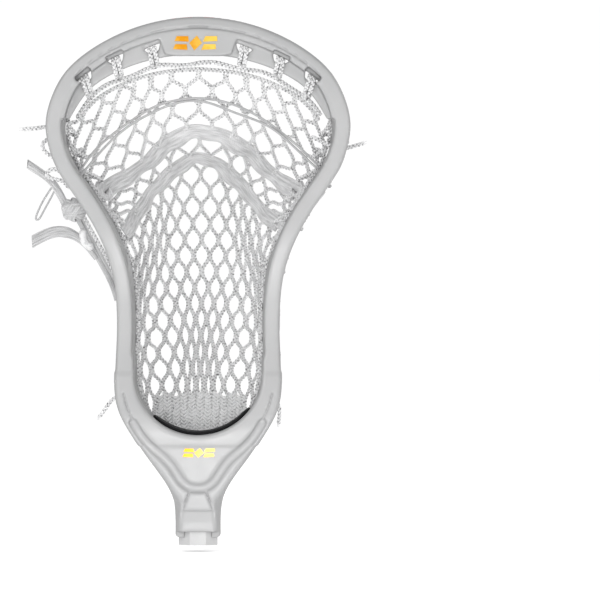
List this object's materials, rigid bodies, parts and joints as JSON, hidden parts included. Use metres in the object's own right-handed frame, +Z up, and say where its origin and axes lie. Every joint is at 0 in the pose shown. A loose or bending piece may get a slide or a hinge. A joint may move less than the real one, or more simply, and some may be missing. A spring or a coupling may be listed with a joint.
{
  "type": "lacrosse stick head",
  "caption": "Strung field lacrosse head with moulded frame, hard mesh pocket, shooting laces and foam ball stop on a short cut shaft stub.",
  "frame": {"origin": "centre of the shaft stub's cut lower end", "axes": "+Z up the shaft to the scoop's tip, +X across the width, the open face looks along -Y and the pocket bulges to +Y"},
  "size_m": [0.2072, 0.1234, 0.3205],
  "materials": {
    "head_plastic": "glossy moulded nylon, white",
    "black_foam": "matte closed-cell foam",
    "shaft_coating": "satin white coating on aluminium tube",
    "screw_steel": "plain steel",
    "mesh_cord": "knitted polyester mesh, white",
    "string_cord": "braided polyester cord, white",
    "nylon_cord": "waxed twisted nylon cord, white",
    "lace_fabric": "flat woven lace, white",
    "red_label": "printed film, plain red",
    "gold_foil": "hot-stamped gold foil"
  },
  "bodies": {
    "root": {"head_frame": "head_plastic", "ball_stop": "black_foam", "shaft_stub": "shaft_coating", "head_screw": "screw_steel", "pocket_mesh": "mesh_cord", "mesh_tail": "mesh_cord", "top_string": "string_cord", "left_sidewall_string": "string_cord", "right_sidewall_string": "string_cord", "bottom_string": "string_cord", "nylon_shooter": "nylon_cord", "left_upper_lace_tail": "lace_fabric", "left_nylon_tail": "nylon_cord", "left_lower_lace_tail": "lace_fabric", "left_lace_run": "lace_fabric", "left_string_tail": "string_cord", "left_string_loop": "string_cord", "right_string_tail": "string_cord", "left_bottom_tail": "string_cord", "right_bottom_tail": "string_cord", "upper_shooting_lace": "lace_fabric", "lower_shooting_lace": "lace_fabric", "upper_lace_wrap": "lace_fabric", "lower_lace_wrap": "lace_fabric", "left_lace_knot": "lace_fabric", "scoop_label": "red_label", "scoop_badge": "gold_foil", "throat_badge": "gold_foil"}
  },
  "joints": []
}
